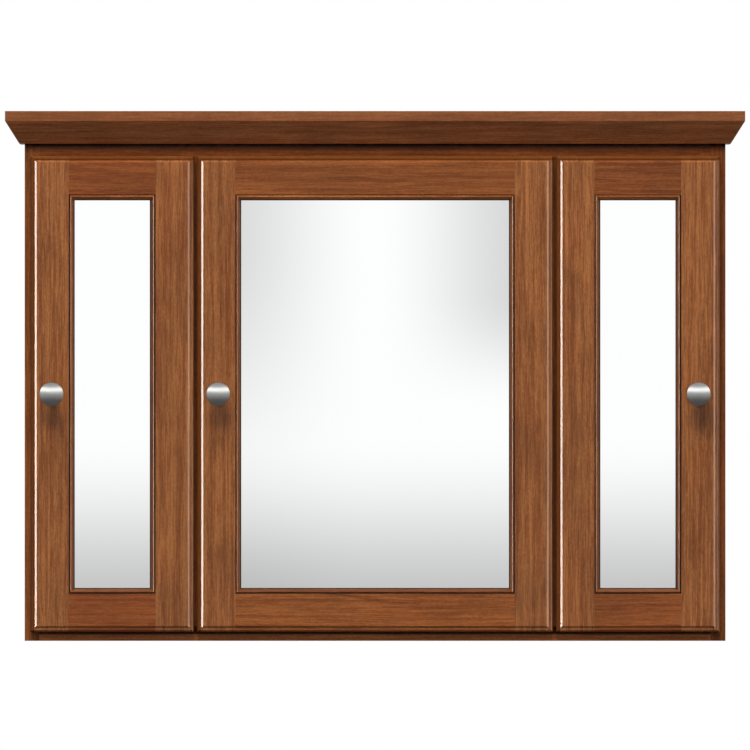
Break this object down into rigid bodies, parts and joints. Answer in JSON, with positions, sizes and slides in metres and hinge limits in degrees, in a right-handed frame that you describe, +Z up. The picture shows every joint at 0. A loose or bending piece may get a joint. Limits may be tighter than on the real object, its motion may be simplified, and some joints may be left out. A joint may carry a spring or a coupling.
{
  "type": "medicine cabinet",
  "caption": "Wall-hung wooden medicine cabinet with a mitred crown, mirrored framed doors on concealed cup hinges, round metal knobs and adjustable shelves.",
  "frame": {"origin": "middle of the four wall-screw holes, on the wall plane behind the hanging rails", "axes": "+X to the right of someone facing the doors, +Y into the wall, +Z up"},
  "size_m": [0.9652, 0.1833, 0.6911],
  "materials": {
    "stained_wood": "stained and satin lacquered",
    "panel_wood": "stained panel, satin",
    "hardboard": "smooth hardboard",
    "mirror_glass": "silvered float glass",
    "brushed_nickel": "brushed nickel",
    "plated_steel": "bright nickel plating",
    "soft_bumper": "clear soft polymer"
  },
  "bodies": {
    "cabinet": {"left_side_panel": "stained_wood", "right_side_panel": "stained_wood", "left_partition": "stained_wood", "right_partition": "stained_wood", "bottom_panel": "stained_wood", "top_panel": "stained_wood", "top_rail": "stained_wood", "back_panel": "panel_wood", "upper_hanging_rail": "panel_wood", "lower_hanging_rail": "panel_wood", "crown_front": "stained_wood", "crown_left_return": "stained_wood", "crown_right_return": "stained_wood", "left_lower_shelf": "stained_wood", "left_upper_shelf": "stained_wood", "center_lower_shelf": "stained_wood", "center_upper_shelf": "stained_wood", "right_lower_shelf": "stained_wood", "right_upper_shelf": "stained_wood", "shelf_pins": "plated_steel", "hinge_mounting_plates": "plated_steel", "hinge_arms": "plated_steel", "hinge_screws": "plated_steel", "door_bumpers": "soft_bumper"},
    "left_door_links": {"left_door_hinge_links": "plated_steel"},
    "left_door": {"left_door_left_stile": "stained_wood", "left_door_right_stile": "stained_wood", "left_door_bottom_rail": "stained_wood", "left_door_top_rail": "stained_wood", "left_door_mirror": "mirror_glass", "left_door_mirror_bead": "stained_wood", "left_door_backer": "hardboard", "left_door_backer_clips": "plated_steel", "left_door_knob": "brushed_nickel", "left_door_hinge_cups": "plated_steel", "left_door_screws": "plated_steel"},
    "center_door_links": {"center_door_hinge_links": "plated_steel"},
    "center_door": {"center_door_left_stile": "stained_wood", "center_door_right_stile": "stained_wood", "center_door_bottom_rail": "stained_wood", "center_door_top_rail": "stained_wood", "center_door_mirror": "mirror_glass", "center_door_mirror_bead": "stained_wood", "center_door_backer": "hardboard", "center_door_backer_clips": "plated_steel", "center_door_knob": "brushed_nickel", "center_door_hinge_cups": "plated_steel", "center_door_screws": "plated_steel"},
    "right_door_links": {"right_door_hinge_links": "plated_steel"},
    "right_door": {"right_door_left_stile": "stained_wood", "right_door_right_stile": "stained_wood", "right_door_bottom_rail": "stained_wood", "right_door_top_rail": "stained_wood", "right_door_mirror": "mirror_glass", "right_door_mirror_bead": "stained_wood", "right_door_backer": "hardboard", "right_door_backer_clips": "plated_steel", "right_door_knob": "brushed_nickel", "right_door_hinge_cups": "plated_steel", "right_door_screws": "plated_steel"}
  },
  "joints": [
    {"name": "left_door_link_turn", "type": "hinge", "parent": "cabinet", "child": "left_door_links", "pos_m": [-0.27122, -0.1495, 0], "axis": [0, 0, 1], "range_deg": [-20, 0]},
    {"name": "left_door_swing", "type": "hinge", "parent": "left_door_links", "child": "left_door", "pos_m": [-0.24718, -0.14956, 0], "axis": [0, 0, 1], "range_deg": [0, 104.55]},
    {"name": "center_door_link_turn", "type": "hinge", "parent": "cabinet", "child": "center_door_links", "pos_m": [0.19717, -0.1495, 0], "axis": [0, 0, 1], "range_deg": [-20, 0]},
    {"name": "center_door_swing", "type": "hinge", "parent": "center_door_links", "child": "center_door", "pos_m": [0.22121, -0.14956, 0], "axis": [0, 0, 1], "range_deg": [0, 104.55]},
    {"name": "right_door_link_turn", "type": "hinge", "parent": "cabinet", "child": "right_door_links", "pos_m": [0.27122, -0.1495, 0], "axis": [0, 0, -1], "range_deg": [-20, 0]},
    {"name": "right_door_swing", "type": "hinge", "parent": "right_door_links", "child": "right_door", "pos_m": [0.24718, -0.14956, 0], "axis": [0, 0, -1], "range_deg": [0, 104.55]}
  ],
  "couplings": [
    {"joint": "left_door_link_turn", "follows": "left_door_swing", "ratio": -0.18699},
    {"joint": "center_door_link_turn", "follows": "center_door_swing", "ratio": -0.18699},
    {"joint": "right_door_link_turn", "follows": "right_door_swing", "ratio": -0.18699}
  ]
}
